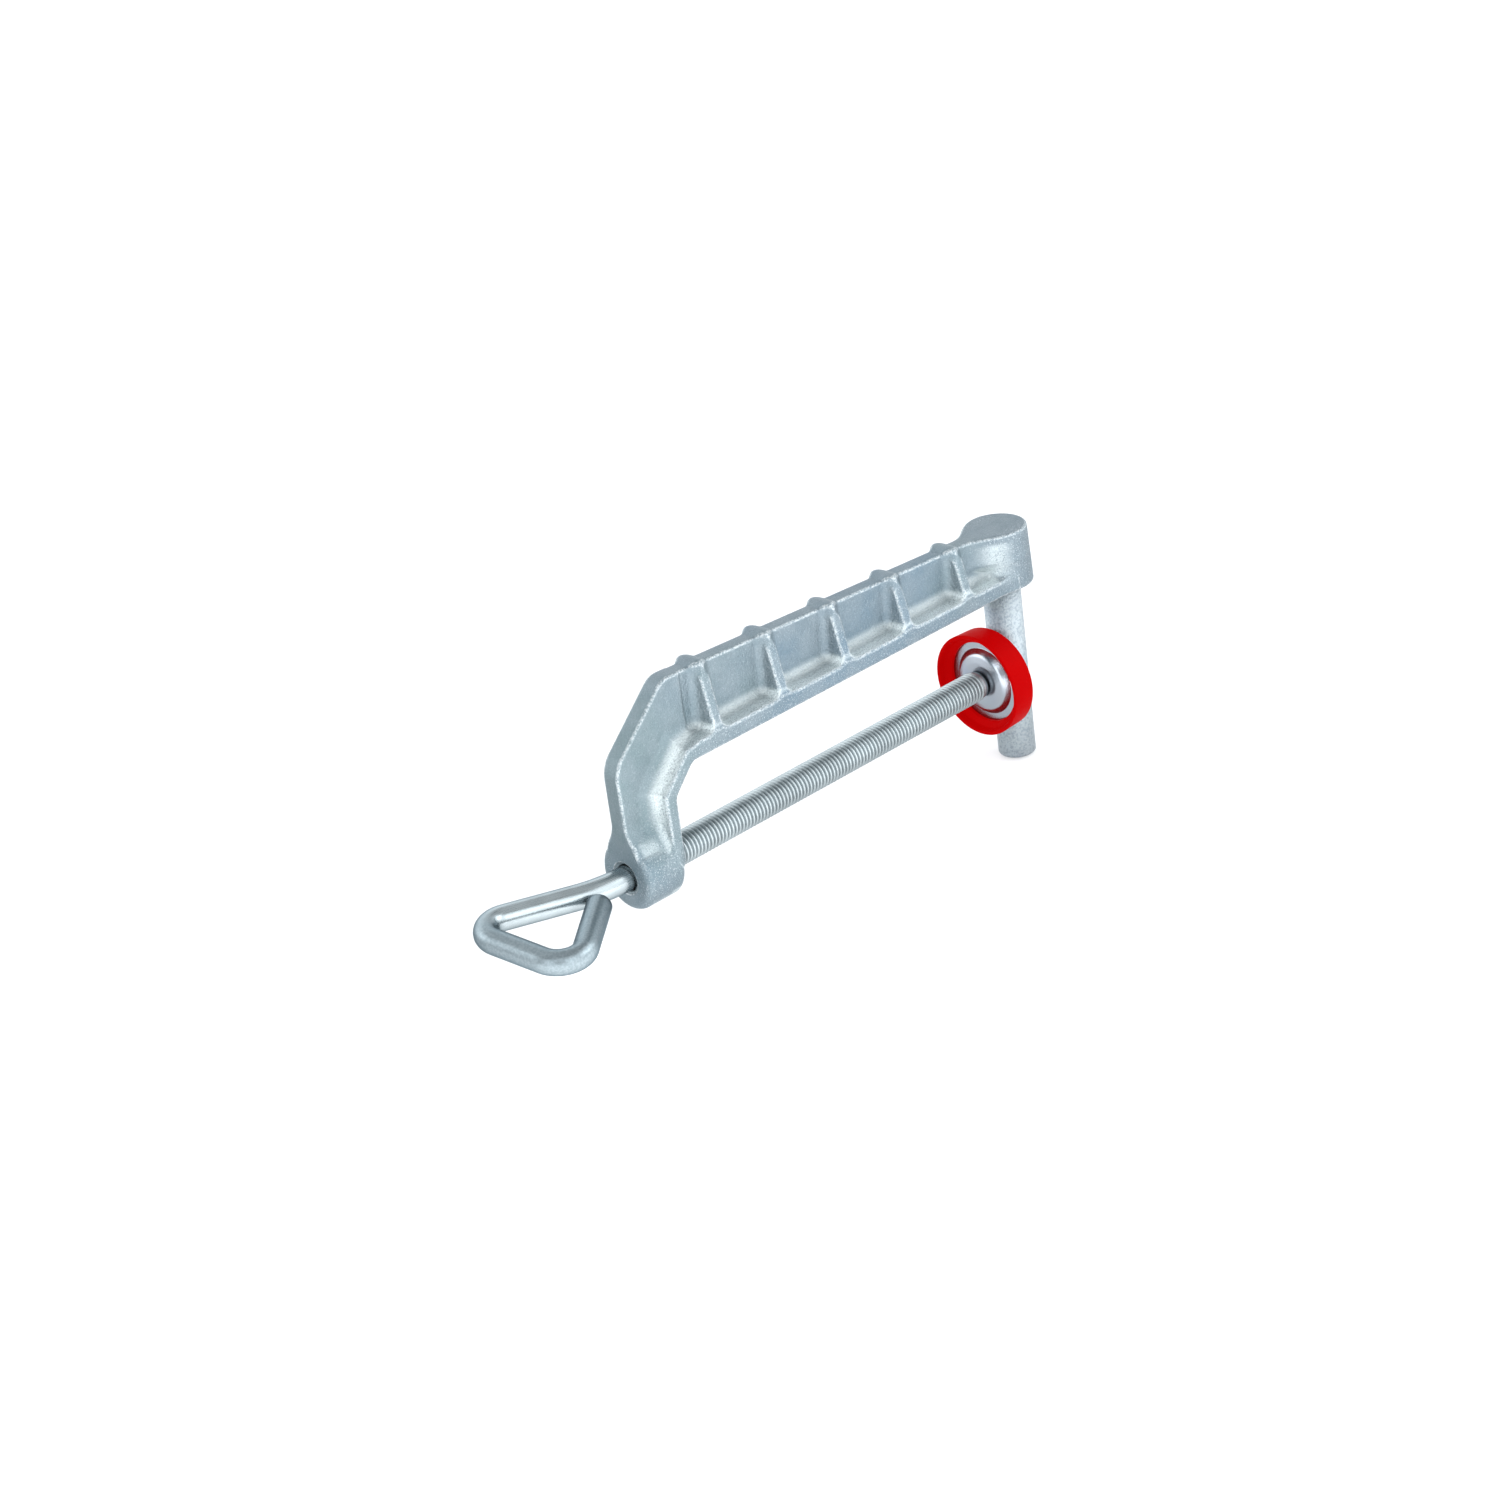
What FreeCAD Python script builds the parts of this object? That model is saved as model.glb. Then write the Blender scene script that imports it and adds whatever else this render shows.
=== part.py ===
import FreeCAD, Part
import math
import os
import re
import Sketcher

# A screw clamp for beams: a cast arm with a pin at one end and a hand-turned spindle at the other.
# Origin: where the pin's axis and the spindle's axis cross. +X runs along the spindle towards the pin,
# +Z runs up the pin towards the arm, and the arm is symmetrical about the XZ plane.
# Places along the spindle are given as distances from the pin's axis, all on the -X side.

# Driving dimensions in millimetres and degrees: alias, value, what it is.
DIMENSIONS = [
    ("pin_radius", 7.5, "locating pin"),
    ("pin_drop", 36.5, "pin's lower end below the spindle axis"),
    ("pin_edge", 1.2, "rounding of the pin's lower edge"),
    ("spigot_radius", 6.5, "pin's turned-down upper end, pressed into the head"),
    ("spigot_length", 17.0, "same end"),
    ("arm_underside", 37.2, "height of the arm's underside and of the head's lower face"),
    ("head_top", 60.9, "height of the head's upper face"),
    ("head_low_radius", 12.9, "head at its lower face"),
    ("head_top_radius", 12.1, "head at its upper face, smaller by the casting's draft"),
    ("head_edge", 1.2, "rounding of the head's upper rim"),
    ("web_thickness", 7.0, "upright web of the arm and column"),
    ("flange_width", 23.0, "flange along the inside of the C"),
    ("flange_thickness", 5.0, "same flange along the column and knee, seen from the side"),
    ("arm_flange", 6.2, "same flange along the arm"),
    ("crown_at_pin", 60.2, "height of the arm's upper edge, produced to the pin's axis"),
    ("crown_at_shoulder", 68.7, "height of the arm's upper edge at the shoulder"),
    ("shoulder", 177.6, "upper end of the slanted shoulder"),
    ("shoulder_foot", 43.9, "height of the shoulder's lower end"),
    ("column_outside", 204.3, "column's outer face"),
    ("column_inside", 184.6, "column's inner face"),
    ("knee_run", 9.8, "slanted knee between column and arm, along X"),
    ("knee_rise", 10.3, "same knee, along Z"),
    ("outer_bend", 12.0, "rounding of the two outer corners"),
    ("inner_bend", 3.0, "rounding of the knee's corners"),
    ("boss_radius", 13.0, "boss that holds the spindle"),
    ("boss_length", 18.2, "same boss"),
    ("bore_radius", 6.05, "bore in the boss"),
    ("rib_thickness", 4.4, "upright rib"),
    ("rib_rise", 1.7, "rib's top above the arm's upper edge"),
    ("rib_top_reach", 6.5, "rib's outer edge from the mid plane at the top"),
    ("rib_first", 28.9, "first rib"),
    ("rib_pitch", 32.9, "from rib to rib"),
    ("thread_radius", 6.0, "spindle's thread, over its crests"),
    ("thread_start", 199.0, "thread's outer end"),
    ("thread_end", 20.0, "thread's inner end"),
    ("thread_chamfer", 1.2, "chamfer at both ends of the thread"),
    ("shank_radius", 4.75, "plain bar of the shank and handle"),
    ("bar_overlap", 2.0, "length of bar that runs into the thread's core"),
    ("shank_bend", 58.0, "radius of the shank's gentle bend"),
    ("shank_angle", 21.5, "turn of that bend"),
    ("handle_apex", 214.8, "apex of the handle's triangle of centrelines"),
    ("handle_side", 53.5, "side of that triangle"),
    ("handle_last", 44.3, "its last side, which stops short of the shank"),
    ("handle_bend", 9.0, "radius of the handle's two corners"),
    ("handle_roll", 5.0, "handle's plane, turned about the spindle from level"),
    ("collar_radius", 5.4, "plain collar between thread and journal"),
    ("collar_end", 18.1, "collar's shoulder"),
    ("journal_radius", 4.0, "journal that carries the foot"),
    ("journal_end", 12.8, "spindle's inner end"),
    ("groove_radius", 3.2, "bottom of the retaining ring's groove"),
    ("groove_near", 13.7, "groove's end nearer the pin"),
    ("groove_far", 15.1, "groove's other end"),
    ("ring_outer", 6.4, "retaining ring's outer radius"),
    ("ring_inner", 3.3, "retaining ring's inner radius"),
    ("ring_slack", 0.1, "ring's clearance in the groove, each side"),
    ("ring_gap", 4.6, "mouth of the open ring"),
    ("plate_radius", 17.2, "swivel plate, over its flange"),
    ("plate_thickness", 1.6, "sheet steel of the plate"),
    ("plate_face", 13.8, "flange's outer face"),
    ("dome_height", 3.6, "dome above that face"),
    ("dome_foot", 13.4, "radius where the dome meets the flange"),
    ("dome_side", 12.2, "radius two thirds of the way up the dome"),
    ("dome_crown", 7.6, "radius where the dome levels out"),
    ("plate_hole", 5.1, "hole for the journal"),
    ("cap_radius", 20.9, "cap at its open rim"),
    ("cap_back_radius", 20.4, "cap at its pressing face"),
    ("cap_front", 19.4, "cap's open rim"),
    ("cap_back", 8.1, "cap's pressing face"),
    ("cap_wall", 1.35, "cap's wall at the rim"),
    ("cap_floor", 2.4, "cap's floor in the middle"),
    ("cap_pocket", 12.0, "radius of the hollow in the floor behind the dome"),
    ("cap_lip", 16.5, "radius inside the lip that holds the plate"),
    ("lip_height", 1.4, "lip's straight height over the plate"),
    ("lip_slope", 1.4, "height over which the lip widens to the wall"),
    ("cap_bowl", 18.8, "radius inside the cap just above the lip"),
    ("cap_fit", 0.1, "room between the cap's lip and the plate"),
    ("cap_edge", 1.5, "rounding of the pressing face's rim"),
]
RIB_COUNT = 5
ALONG = {"X": FreeCAD.Rotation(FreeCAD.Vector(0, 1, 0), 90), "Z": FreeCAD.Rotation()}
SCRATCH_CELL = "E1"

doc = FreeCAD.newDocument("BeamClamp")
sheet = doc.addObject("Spreadsheet::Sheet", "Dimensions")
for row, (alias, number, meaning) in enumerate(DIMENSIONS, start=1):
    sheet.set(f"A{row}", alias)
    sheet.set(f"B{row}", str(number))
    sheet.set(f"C{row}", meaning)
    sheet.setAlias(f"B{row}", alias)
doc.recompute()


def amount(formula):
    """What a formula of aliases comes to, worked out by the sheet."""
    sheet.set(SCRATCH_CELL, "=" + formula)
    sheet.recompute()
    return float(sheet.get(SCRATCH_CELL))


def bind(owner, prop, formula):
    """Binds a property to a formula in which the sheet's aliases stand as bare words."""
    aliases = "|".join(entry[0] for entry in DIMENSIONS)
    owner.setExpression(prop, re.sub(rf"\b({aliases})\b", r"Dimensions.\1", formula))


def new_body(label):
    body = doc.addObject("PartDesign::Body", label)
    body.Label = label
    return body


def new_sketch(body, name, role):
    sketch = body.newObject("Sketcher::SketchObject", name)
    origin_plane = next(f for f in body.Origin.OriginFeatures if f.Role == role)
    sketch.AttachmentSupport = [(origin_plane, "")]
    sketch.MapMode = "FlatFace"
    return sketch


def dimension(sketch, kind, formula, *where):
    """A constraint whose value is bound to the sheet."""
    value = amount(formula)
    if kind == "Angle":
        value = math.radians(value)
    index = sketch.addConstraint(Sketcher.Constraint(kind, *where, value))
    bind(sketch, f"Constraints[{index}]", formula)


def polygon(sketch, corners):
    """A closed outline whose corners are pairs of formulas."""
    points = [FreeCAD.Vector(amount(u), amount(v), 0) for u, v in corners]
    count = len(points)
    for k in range(count):
        sketch.addGeometry(Part.LineSegment(points[k], points[(k + 1) % count]))
    for k in range(count):
        sketch.addConstraint(Sketcher.Constraint("Coincident", k, 2, (k + 1) % count, 1))
    for k, (u, v) in enumerate(corners):
        dimension(sketch, "DistanceX", u, -1, 1, k, 1)
        dimension(sketch, "DistanceY", v, -1, 1, k, 1)
    doc.recompute()


def pad(body, name, sketch, length):
    """A pad to both sides of its sketch."""
    made = body.newObject("PartDesign::Pad", name)
    made.Profile = sketch
    made.Midplane = True
    bind(made, "Length", length)
    doc.recompute()
    return made


def revolve(body, name, sketch, axis):
    made = body.newObject("PartDesign::Revolution", name)
    made.Profile = sketch
    made.ReferenceAxis = (sketch, [axis])
    made.Angle = 360
    doc.recompute()
    return made


def primitive(body, kind, name, axis, start, **sizes):
    """A cylinder or cone along X or Z, from a start along that axis."""
    made = body.newObject(f"PartDesign::{kind}", name)
    made.Placement = FreeCAD.Placement(FreeCAD.Vector(), ALONG[axis])
    bind(made, f".Placement.Base.{axis.lower()}", start)
    for prop, formula in sizes.items():
        bind(made, prop, formula)
    doc.recompute()
    return made


def fillet(body, name, base, radius, pick):
    """Rounds the edges of the body's last feature that pick(edge) chooses."""
    chosen = [f"Edge{k}" for k, edge in enumerate(base.Shape.Edges, start=1) if pick(edge)]
    if not chosen:
        raise RuntimeError(f"{name} finds no edge to round")
    made = body.newObject("PartDesign::Fillet", name)
    made.Base = (base, chosen)
    bind(made, "Radius", radius)
    doc.recompute()
    return made


def upright_edge(corners):
    """A test for edges parallel to Y that stand on one of these (x, z) corners."""
    places = [(amount(x), amount(z)) for x, z in corners]

    def pick(edge):
        ends = [vertex.Point for vertex in edge.Vertexes]
        if len(ends) != 2 or math.hypot(ends[0].x - ends[1].x, ends[0].z - ends[1].z) > 1e-6:
            return False
        return any(math.hypot(ends[0].x - x, ends[0].z - z) < 1e-3 for x, z in places)

    return pick


def round_edge(axis, radius, start):
    """A test for circular edges about the X or Z axis, of one radius and at one place along it."""
    wanted = (amount(radius), amount(start))

    def pick(edge):
        if not isinstance(edge.Curve, Part.Circle):
            return False
        along = getattr(edge.Curve.Axis, axis.lower())
        place = getattr(edge.Curve.Center, axis.lower())
        found = (edge.Curve.Radius, place)
        return abs(along) > 0.999 and all(abs(a - b) < 1e-3 for a, b in zip(found, wanted))

    return pick


def make_clamp_arm():
    """The casting: web, flange inside the C, ribs, boss for the spindle and head for the pin."""
    body = new_body("clamp_arm")
    head = primitive(body, "AdditiveCone", "Head", "Z", "arm_underside",
                     Radius1="head_low_radius", Radius2="head_top_radius",
                     Height="head_top - arm_underside")
    fillet(body, "HeadRim", head, "head_edge", round_edge("Z", "head_top_radius", "head_top"))
    knee = [
        ("-(column_inside - knee_run)", "arm_underside"),
        ("-column_inside", "arm_underside - knee_rise"),
    ]
    shoulder_corners = [
        ("-column_outside", "shoulder_foot"),
        ("-shoulder", "crown_at_shoulder"),
    ]
    outline = new_sketch(body, "WebOutline", "XZ_Plane")
    polygon(outline, [
        ("0", "arm_underside"),
        *knee,
        ("-column_inside", "0"),
        ("-column_outside", "0"),
        *shoulder_corners,
        ("0", "crown_at_pin"),
    ])
    web = pad(body, "Web", outline, "web_thickness")
    fillet(body, "OuterBends", web, "outer_bend", upright_edge(shoulder_corners))

    slant = "sqrt(knee_run ^ 2 + knee_rise ^ 2)"
    rise = f"flange_thickness * ({slant} - knee_rise) / knee_run"
    run = f"(flange_thickness * {slant} - arm_flange * knee_run) / knee_rise"
    strip = new_sketch(body, "FlangeOutline", "XZ_Plane")
    polygon(strip, [
        ("0", "arm_underside"),
        *knee,
        ("-column_inside", "0"),
        ("-(column_inside + flange_thickness)", "0"),
        ("-(column_inside + flange_thickness)", f"arm_underside - knee_rise + {rise}"),
        (f"-(column_inside - knee_run + {run})", "arm_underside + arm_flange"),
        ("0", "arm_underside + arm_flange"),
    ])
    flange = pad(body, "Flange", strip, "flange_width")
    fillet(body, "FlangeKnee", flange, "inner_bend", upright_edge(knee))

    fall = "(crown_at_shoulder - crown_at_pin) / shoulder"
    for k in range(RIB_COUNT):
        place = f"(rib_first + {k} * rib_pitch)"
        top = f"crown_at_pin + ({place} - rib_thickness / 2) * {fall} + rib_rise"
        section = new_sketch(body, f"RibSection{k + 1}", "YZ_Plane")
        bind(section, ".AttachmentOffset.Base.z", f"-{place}")
        polygon(section, [
            ("-flange_width / 2", "arm_underside + flange_thickness / 2"),
            ("flange_width / 2", "arm_underside + flange_thickness / 2"),
            ("flange_width / 2", "arm_underside + arm_flange"),
            ("rib_top_reach", top),
            ("-rib_top_reach", top),
            ("-flange_width / 2", "arm_underside + arm_flange"),
        ])
        pad(body, f"Rib{k + 1}", section, "rib_thickness")

    primitive(body, "AdditiveCylinder", "Boss", "X", "-column_outside",
              Radius="boss_radius", Height="boss_length")
    primitive(body, "SubtractiveCylinder", "PinSeat", "Z", "arm_underside - 1",
              Radius="spigot_radius", Height="spigot_length + 1")
    primitive(body, "SubtractiveCylinder", "SpindleBore", "X", "-(column_outside + 5)",
              Radius="bore_radius", Height="boss_length + 12")
    return body


def make_locating_pin():
    """The plain pin: its shoulder meets the head and its spigot is pressed in."""
    body = new_body("locating_pin")
    half = new_sketch(body, "PinHalf", "XZ_Plane")
    polygon(half, [
        ("0", "-pin_drop"),
        ("pin_radius", "-pin_drop"),
        ("pin_radius", "arm_underside"),
        ("spigot_radius", "arm_underside"),
        ("spigot_radius", "arm_underside + spigot_length"),
        ("0", "arm_underside + spigot_length"),
    ])
    pin = revolve(body, "Pin", half, "V_Axis")
    fillet(body, "PinEdge", pin, "pin_edge", round_edge("Z", "pin_radius", "-pin_drop"))
    return body


def draw_bar_path(sketch):
    """The bar's centreline: out of the thread, a gentle bend, two sides of a triangle and most of the third.

    Runs are lines and bends are arcs, tangent end to end. Angles, lengths and radii are bound."""
    gentle_cut = "shank_bend * tan(shank_angle / 2)"
    corner_cut = "handle_bend * tan(60)"
    start = "-(thread_start - bar_overlap)"
    runs = [
        ("180", f"handle_apex - {gentle_cut} + {start}"),
        ("180 - shank_angle", f"handle_side - {gentle_cut} - {corner_cut}"),
        ("-60 - shank_angle", f"handle_side - 2 * {corner_cut}"),
        ("60 - shank_angle", f"handle_last - {corner_cut}"),
    ]
    radii = ["shank_bend", "handle_bend", "handle_bend"]
    point = FreeCAD.Vector(amount(start), 0, 0)
    for k, (heading, length) in enumerate(runs):
        angle = math.radians(amount(heading))
        along = FreeCAD.Vector(math.cos(angle), math.sin(angle), 0)
        corner = point + along * amount(length)
        line = sketch.addGeometry(Part.LineSegment(point, corner))
        if k:
            dimension(sketch, "Angle", heading, line)
            sketch.addConstraint(Sketcher.Constraint("Tangent", line - 1, leave, line, 1))
        else:
            sketch.addConstraint(Sketcher.Constraint("Horizontal", line))
            sketch.addConstraint(Sketcher.Constraint("PointOnObject", line, 1, -1))
            dimension(sketch, "DistanceX", start, -1, 1, line, 1)
        dimension(sketch, "Distance", length, line)
        if k == len(radii):
            break
        turn = math.remainder(math.radians(amount(runs[k + 1][0])) - angle, math.tau)
        side = math.copysign(1, turn)
        entry, leave = (1, 2) if side > 0 else (2, 1)
        radius = amount(radii[k])
        normal = FreeCAD.Vector(-along.y, along.x, 0) * side
        centre = corner + normal * radius
        first = math.atan2(-normal.y, -normal.x)
        low, high = min(first, first + turn), max(first, first + turn)
        circle = Part.Circle(centre, FreeCAD.Vector(0, 0, 1), radius)
        arc = sketch.addGeometry(Part.ArcOfCircle(circle, low, high))
        sketch.addConstraint(Sketcher.Constraint("Tangent", line, 2, arc, entry))
        dimension(sketch, "Radius", radii[k], arc)
        point = centre + FreeCAD.Vector(math.cos(first + turn), math.sin(first + turn), 0) * radius
    doc.recompute()


def make_spindle():
    """One bar: thread, collar, journal with its groove, and the shank bent into a triangular handle."""
    body = new_body("spindle")
    half = new_sketch(body, "ScrewHalf", "XY_Plane")
    polygon(half, [
        ("-thread_start", "0"),
        ("-thread_start", "thread_radius - thread_chamfer"),
        ("-(thread_start - thread_chamfer)", "thread_radius"),
        ("-(thread_end + thread_chamfer / 2)", "thread_radius"),
        ("-thread_end", "collar_radius"),
        ("-collar_end", "collar_radius"),
        ("-collar_end", "journal_radius"),
        ("-groove_far", "journal_radius"),
        ("-groove_far", "groove_radius"),
        ("-groove_near", "groove_radius"),
        ("-groove_near", "journal_radius"),
        ("-journal_end", "journal_radius"),
        ("-journal_end", "0"),
    ])
    revolve(body, "Screw", half, "H_Axis")
    path = new_sketch(body, "BarPath", "XY_Plane")
    draw_bar_path(path)
    section = new_sketch(body, "BarSection", "YZ_Plane")
    bind(section, ".AttachmentOffset.Base.z", "-(thread_start - bar_overlap)")
    circle = Part.Circle(FreeCAD.Vector(), FreeCAD.Vector(0, 0, 1), amount("shank_radius"))
    section.addGeometry(circle)
    section.addConstraint(Sketcher.Constraint("Coincident", 0, 3, -1, 1))
    dimension(section, "Radius", "shank_radius", 0)
    doc.recompute()
    bar = body.newObject("PartDesign::AdditivePipe", "Bar")
    bar.Profile = section
    bar.Spine = (path, [f"Edge{k + 1}" for k in range(path.GeometryCount)])
    doc.recompute()
    body.Placement.Rotation = FreeCAD.Rotation(FreeCAD.Vector(1, 0, 0), 0)
    bind(body, ".Placement.Rotation.Angle", "handle_roll")
    return body


def make_retaining_ring():
    """The open ring in the journal's groove, which keeps the foot on the spindle."""
    body = new_body("retaining_ring")
    half = new_sketch(body, "RingHalf", "XY_Plane")
    polygon(half, [
        ("-(groove_far - ring_slack)", "ring_inner"),
        ("-(groove_near + ring_slack)", "ring_inner"),
        ("-(groove_near + ring_slack)", "ring_outer"),
        ("-(groove_far - ring_slack)", "ring_outer"),
    ])
    revolve(body, "Ring", half, "H_Axis")
    mouth = body.newObject("PartDesign::SubtractiveBox", "RingMouth")
    bind(mouth, "Length", "ring_gap")
    bind(mouth, "Width", "ring_gap")
    bind(mouth, "Height", "2 * ring_outer")
    bind(mouth, ".Placement.Base.x", "-(groove_far + ring_gap / 2)")
    bind(mouth, ".Placement.Base.y", "-ring_gap / 2")
    bind(mouth, ".Placement.Base.z", "-2 * ring_outer")
    doc.recompute()
    return body


def make_swivel_plate():
    """The pressed-steel foot: a flat flange round a low dome, with a hole for the journal."""
    body = new_body("swivel_plate")
    half = new_sketch(body, "PlateHalf", "XY_Plane")
    outside = [
        ("-(plate_face + dome_height)", "plate_hole"),
        ("-(plate_face + dome_height)", "dome_crown"),
        ("-(plate_face + dome_height * 2 / 3)", "(dome_crown + 2 * dome_side) / 3"),
        ("-(plate_face + dome_height / 4)", "dome_foot"),
        ("-plate_face", "dome_foot"),
        ("-plate_face", "plate_radius"),
    ]
    inside = [(f"{x} + plate_thickness", f"{y}") for x, y in reversed(outside)]
    inside[1] = (inside[1][0], "dome_foot - plate_thickness / 2")
    inside[2] = (inside[2][0], "dome_foot - plate_thickness / 2")
    inside[3] = (inside[3][0], "(dome_crown + 2 * dome_side) / 3 - plate_thickness / 2")
    polygon(half, outside + inside)
    revolve(body, "Plate", half, "H_Axis")
    return body


def make_protective_cap():
    """The soft plastic cap: a cup whose lip snaps over the plate and whose back presses on the beam."""
    body = new_body("protective_cap")
    half = new_sketch(body, "CapHalf", "XY_Plane")
    seat = "-(plate_face - plate_thickness)"
    lip = "-(plate_face + cap_fit)"
    polygon(half, [
        ("-cap_back", "0"),
        ("-cap_back", "cap_back_radius"),
        ("-cap_front", "cap_radius"),
        ("-cap_front", "cap_radius - cap_wall"),
        (f"{lip} - lip_height - lip_slope", "cap_bowl"),
        (f"{lip} - lip_height", "cap_lip"),
        (lip, "cap_lip"),
        (lip, "plate_radius + cap_fit"),
        (seat, "plate_radius + cap_fit"),
        (seat, "cap_pocket"),
        ("-(cap_back + cap_floor)", "cap_pocket"),
        ("-(cap_back + cap_floor)", "0"),
    ])
    cap = revolve(body, "Cap", half, "H_Axis")
    fillet(body, "CapEdge", cap, "cap_edge", round_edge("X", "cap_back_radius", "-cap_back"))
    return body


pieces = [
    make_clamp_arm(),
    make_locating_pin(),
    make_spindle(),
    make_retaining_ring(),
    make_swivel_plate(),
    make_protective_cap(),
]
sheet.clear(SCRATCH_CELL)
doc.recompute()

for thing in doc.Objects:
    if "Invalid" in thing.State or "Error" in thing.State:
        raise RuntimeError(f"{thing.Name} is {thing.State}")
os.makedirs("parts", exist_ok=True)
for piece in pieces:
    shape = piece.Shape
    if shape.isNull() or not shape.isValid() or len(shape.Solids) != 1:
        raise RuntimeError(f"{piece.Label} isn't one valid solid")
    shape.exportStep(f"parts/{piece.Label}.step")
    box = shape.BoundBox
    print(f"{piece.Label}: {shape.Volume:.0f} mm3, x {box.XMin:.1f}..{box.XMax:.1f}, "
          f"y {box.YMin:.1f}..{box.YMax:.1f}, z {box.ZMin:.1f}..{box.ZMax:.1f}")
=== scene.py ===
import math

import bmesh
import bpy
import numpy as np
from mathutils import Matrix, Vector


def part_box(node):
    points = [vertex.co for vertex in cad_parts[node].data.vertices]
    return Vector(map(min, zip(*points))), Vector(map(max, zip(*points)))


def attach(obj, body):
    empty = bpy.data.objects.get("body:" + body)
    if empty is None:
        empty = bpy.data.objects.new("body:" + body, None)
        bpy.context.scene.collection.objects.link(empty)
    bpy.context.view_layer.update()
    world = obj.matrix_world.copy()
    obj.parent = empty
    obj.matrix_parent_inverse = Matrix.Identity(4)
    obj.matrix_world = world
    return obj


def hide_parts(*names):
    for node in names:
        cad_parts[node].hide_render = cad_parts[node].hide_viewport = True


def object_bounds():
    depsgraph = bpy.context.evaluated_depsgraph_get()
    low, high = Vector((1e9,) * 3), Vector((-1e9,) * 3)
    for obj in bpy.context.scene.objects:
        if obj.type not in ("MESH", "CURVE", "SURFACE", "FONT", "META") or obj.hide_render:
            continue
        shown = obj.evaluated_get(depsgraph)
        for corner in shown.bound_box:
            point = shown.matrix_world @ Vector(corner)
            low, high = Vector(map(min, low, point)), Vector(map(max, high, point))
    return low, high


# The looks of a screw clamp for beams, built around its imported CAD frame.
# The frame's origin is where the pin's axis crosses the spindle's axis, +X runs towards the pin and +Z up.
# Shapes are in millimetres, turned into metres when a mesh is made. Materials and the studio are in metres.

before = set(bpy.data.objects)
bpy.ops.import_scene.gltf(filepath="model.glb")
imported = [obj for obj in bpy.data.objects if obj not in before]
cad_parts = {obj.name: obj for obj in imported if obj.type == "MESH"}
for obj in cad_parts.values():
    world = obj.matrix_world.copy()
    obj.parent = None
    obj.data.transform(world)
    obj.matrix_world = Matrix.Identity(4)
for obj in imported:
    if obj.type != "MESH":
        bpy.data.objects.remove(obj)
CAD_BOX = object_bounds()
MM = 0.001

# Places and sizes read from the frame.
ARM_LOW, ARM_HIGH = (np.array(corner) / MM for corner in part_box("clamp_arm"))
PIN_LOW, PIN_HIGH = (np.array(corner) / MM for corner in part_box("locating_pin"))
BAR_HIGH = np.array(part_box("spindle")[1]) / MM
RING_LOW, RING_HIGH = (np.array(corner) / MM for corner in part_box("retaining_ring"))
PLATE_LOW, PLATE_HIGH = (np.array(corner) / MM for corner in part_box("swivel_plate"))
CAP_LOW, CAP_HIGH = (np.array(corner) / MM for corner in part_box("protective_cap"))

# The casting's outline, seen from the side.
OUTSIDE, INSIDE = ARM_LOW[0], -184.6
UNDERSIDE, HEAD_TOP = 37.2, 60.9
CROWN_AT_PIN, CROWN_FALL = 60.2, 0.0479
SHOULDER_FOOT, SHOULDER_ANGLE = 43.9, 42.9
SHOULDER_BEND, CROWN_BEND = 3.8, 2.5
KNEE_RUN, KNEE_RISE = 9.8, 10.3
ARM_STOP, COLUMN_STOP, BORE_STOP = -4, 2, -150

# Its sections. A name that ends in FROM holds the two ends of the stretch over which something changes.
HALF_WEB, COLUMN_STEP, STEP_FROM = 3.5, 0.4, (169.2, 170.2)
FLANGE, ARM_FLANGE, ARM_FLANGE_FROM = 5.0, 6.2, (-178, -168)
FLANGE_DRAFT, HALF_FLANGE = 0.16, 11.5
HEAD_RADIUS, HEAD_DRAFT = ARM_HIGH[0], 0.034
BOSS_RADIUS, BOSS_END, BORE = -ARM_LOW[2], OUTSIDE + 18.2, 6.1
RIBS, RIB_FIRST, RIB_PITCH = 5, -28.9, -32.9
HALF_RIB, RIB_TOP_REACH, RIB_DRAFT = 2.1, 6.4, 0.28
NUB_HEIGHT, NUB_REACH = 1.5, 4.4
NUB_FLAT, NUB_FALL = 3.2, 0.11

# Its fillets and rounded edges: a radius, what it gains and over which stretch.
FLANGE_FILLET, FLANGE_FILLET_GAIN, FLANGE_FILLET_FROM = 3.2, 3.6, (165, 182)
HEAD_FILLET, HEAD_FILLET_GAIN, HEAD_FILLET_FROM = 2.5, 7.0, (45, 51)
BOSS_FILLET, BOSS_FILLET_LOSS, BOSS_FILLET_FROM = 8.5, 6.0, (6.5, 11)
RIB_EDGE, RIB_EDGE_GAIN, RIB_EDGE_FROM = 0.9, 1.8, (0.75, 1.0)
OUTER_EDGE, OUTER_EDGE_GAIN, OUTER_EDGE_FROM = 1.1, 1.9, (-14, -2)
RIB_FILLET, CAST_EDGE, BOSS_EDGE, BORE_EDGE = 2.6, 1.0, 2.8, 0.35

# The spindle: its thread, its collar and grooved journal, and the bar bent into a handle.
THREAD_START, THREAD_END, THREAD_PITCH = -199.0, -20.0, 1.75
CREST, ROOT = 6.0, 4.95
COLLAR, COLLAR_END = 5.4, -17.95
JOURNAL, JOURNAL_END = 4.0, BAR_HIGH[0]
GROOVE, GROOVE_FAR, GROOVE_NEAR = 3.2, -15.1, -13.7
SHANK, SHANK_BEND, SHANK_ANGLE = 4.75, 58.0, -21.5
HANDLE_APEX, HANDLE_SIDE, HANDLE_LAST = -214.8, 53.5, 44.3
HANDLE_BEND, HANDLE_TURN, HANDLE_ROLL = 9.0, 120, 5.0
AROUND = 64


# ---------------------------------------------------------------- meshes

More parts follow.
